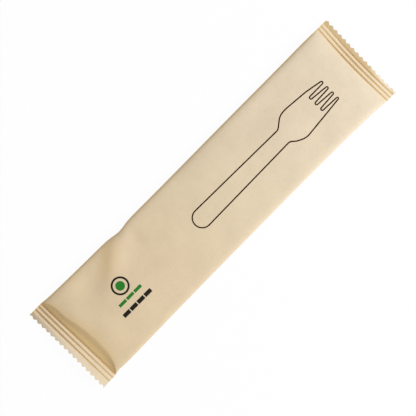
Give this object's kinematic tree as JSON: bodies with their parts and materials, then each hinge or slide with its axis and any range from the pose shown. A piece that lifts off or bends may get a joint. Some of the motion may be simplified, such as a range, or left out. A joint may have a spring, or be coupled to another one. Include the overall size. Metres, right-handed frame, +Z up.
{
  "type": "wrapped wooden fork",
  "caption": "Disposable wooden fork sealed in a flat kraft paper sachet with crimped, serrated ends and a folded fin seam down its back.",
  "frame": {"origin": "middle of the pack's outline, on the surface it lies on", "axes": "+X along the pack towards the tine end, +Y across it, +Z up out of the printed face"},
  "size_m": [0.2082, 0.0514, 0.0061],
  "materials": {
    "kraft_paper": "matte"
  },
  "bodies": {
    "root": {"wrapped_fork": "kraft_paper"}
  },
  "joints": []
}
